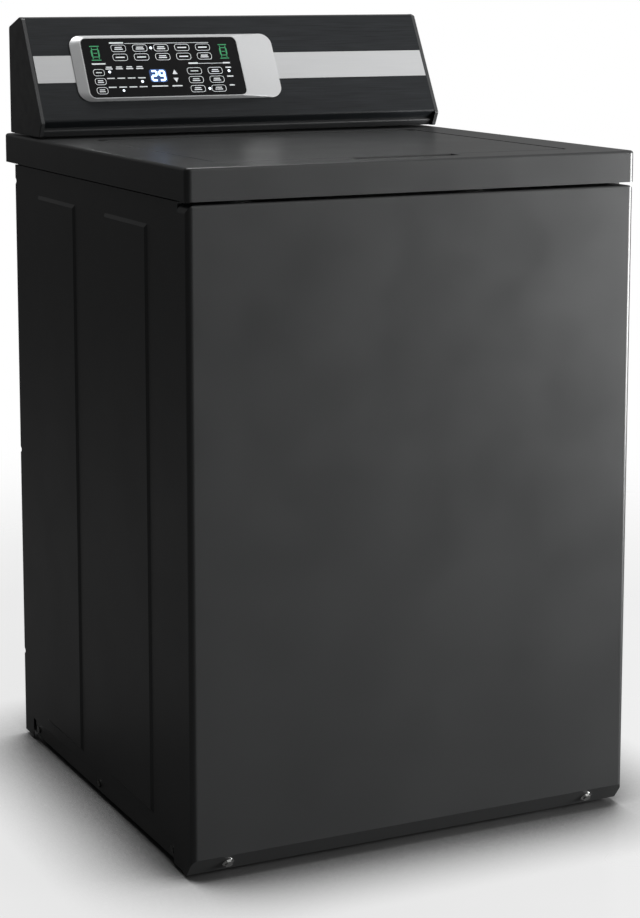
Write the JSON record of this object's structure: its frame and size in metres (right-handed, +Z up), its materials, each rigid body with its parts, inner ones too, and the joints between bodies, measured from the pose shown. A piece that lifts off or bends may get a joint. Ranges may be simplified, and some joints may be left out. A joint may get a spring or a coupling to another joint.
{
  "type": "top load washing machine",
  "caption": "Dark grey top load washing machine with a flat lid, a raised rear console with a touch panel, a perforated basket, an agitator and a belt drive on a sprung tub.",
  "frame": {"origin": "centre of the bounding box at floor level, under the feet", "axes": "+Z up, the front panel faces -Y, +X is the machine's right as seen from the front"},
  "size_m": [0.651, 0.711, 1.0859],
  "materials": {
    "graphite_paint": "satin metallic dark grey paint on steel sheet",
    "console_skin": "satin blue-black with a fine sideways grain",
    "console_plastic": "fine textured dark grey moulding",
    "silver_trim": "satin silver",
    "black_glass": "gloss black panel with printed outlines",
    "galvanised_steel": "zinc coated sheet",
    "zinc_plated": "bright zinc",
    "bright_hex": "bright plated",
    "stainless": "brushed stainless, perforated",
    "spring_steel": "phosphated spring steel",
    "grey_plastic": "moulded light grey",
    "white_plastic": "moulded white",
    "charcoal_plastic": "moulded charcoal",
    "black_plastic": "moulded black",
    "rubber": "matt black",
    "cast_aluminium": "as cast",
    "motor_paint": "black baked paint",
    "circuit_board": "green lacquer"
  },
  "bodies": {
    "cabinet": {"base_frame": "galvanised_steel", "bleach_dispenser": "grey_plastic", "cabinet_screws": "zinc_plated", "cabinet_top": "graphite_paint", "console_fascia": "console_skin", "console_hood": "console_plastic", "control_bezel": "silver_trim", "control_board": "circuit_board", "cord_bush": "black_plastic", "drain_hose": "rubber", "drain_outlet": "white_plastic", "drain_pump": "white_plastic", "foot_lock_nuts": "zinc_plated", "front_panel": "graphite_paint", "front_panel_screws": "bright_hex", "hinge_brackets": "charcoal_plastic", "inlet_hose": "rubber", "inlet_valve": "white_plastic", "left_end_cap": "console_plastic", "left_side_panel": "graphite_paint", "lid_bumpers": "rubber", "lid_lock_housing": "black_plastic", "rear_panel": "galvanised_steel", "right_end_cap": "console_plastic", "right_side_panel": "graphite_paint", "suspension_brackets": "galvanised_steel", "suspension_rods": "zinc_plated", "touch_panel": "black_glass", "trim_stripe": "silver_trim", "water_nozzle": "white_plastic"},
    "lid": {"lid_panel": "graphite_paint", "lid_liner": "grey_plastic", "hinge_pins": "zinc_plated", "lid_strike": "charcoal_plastic"},
    "lock_bolt": {"lid_lock_bolt": "charcoal_plastic"},
    "tub": {"outer_tub": "white_plastic", "tub_ring": "white_plastic", "bearing_housing": "cast_aluminium", "shaft_bearings": "spring_steel", "drive_frame": "motor_paint", "motor_housing": "motor_paint", "drive_belt": "rubber", "suspension_springs": "spring_steel", "sump_bellows": "rubber"},
    "basket": {"wash_basket": "stainless", "basket_floor": "stainless", "balance_ring": "grey_plastic", "spin_hub": "cast_aluminium", "drive_pulley": "cast_aluminium"},
    "agitator_set": {"agitator": "grey_plastic", "agitator_auger": "grey_plastic", "agitator_shaft": "spring_steel"},
    "softener": {"softener_cup": "grey_plastic"},
    "motor": {"motor_rotor": "motor_paint", "motor_pulley": "cast_aluminium"},
    "impeller": {"pump_impeller": "black_plastic"},
    "foot_body_front_left": {"foot_front_left": "rubber"},
    "foot_body_front_right": {"foot_front_right": "rubber"},
    "foot_body_rear_left": {"foot_rear_left": "rubber"},
    "foot_body_rear_right": {"foot_rear_right": "rubber"}
  },
  "joints": [
    {"name": "lid_hinge", "type": "hinge", "parent": "cabinet", "child": "lid", "pos_m": [0, 0.1405, 0.905], "axis": [-1, 0, 0], "range_deg": [0, 100]},
    {"name": "lid_lock_slide", "type": "slide", "parent": "cabinet", "child": "lock_bolt", "axis": [-1, 0, 0], "range_m": [0, 0.014]},
    {"name": "tub_bounce", "type": "slide", "parent": "cabinet", "child": "tub", "axis": [0, 0, 1], "range_m": [-0.015, 0.015], "stiffness_N_per_m": 20000, "springref_m": 0.01717, "deforming": ["suspension_springs", "sump_bellows"]},
    {"name": "basket_spin", "type": "hinge", "parent": "tub", "child": "basket", "pos_m": [0, -0.0305, 0.5], "axis": [0, 0, 1], "continuous": true},
    {"name": "agitator_swing", "type": "hinge", "parent": "basket", "child": "agitator_set", "pos_m": [0, -0.0305, 0.5], "axis": [0, 0, 1], "range_deg": [-105, 105]},
    {"name": "softener_cup_lift", "type": "slide", "parent": "agitator_set", "child": "softener", "axis": [0, 0, 1], "range_m": [0, 0.06]},
    {"name": "motor_spin", "type": "hinge", "parent": "tub", "child": "motor", "pos_m": [-0.175, -0.0305, 0.15], "axis": [0, 0, 1], "continuous": true},
    {"name": "impeller_spin", "type": "hinge", "parent": "cabinet", "child": "impeller", "pos_m": [0.11, -0.2055, 0.07], "axis": [0, 0, 1], "continuous": true},
    {"name": "foot_screw_front_left", "type": "slide", "parent": "cabinet", "child": "foot_body_front_left", "axis": [0, 0, -1], "range_m": [0, 0.01]},
    {"name": "foot_screw_front_right", "type": "slide", "parent": "cabinet", "child": "foot_body_front_right", "axis": [0, 0, -1], "range_m": [0, 0.01]},
    {"name": "foot_screw_rear_left", "type": "slide", "parent": "cabinet", "child": "foot_body_rear_left", "axis": [0, 0, -1], "range_m": [0, 0.01]},
    {"name": "foot_screw_rear_right", "type": "slide", "parent": "cabinet", "child": "foot_body_rear_right", "axis": [0, 0, -1], "range_m": [0, 0.01]}
  ],
  "couplings": [
    {"joint": "motor_spin", "follows": "basket_spin", "ratio": 5.75}
  ]
}
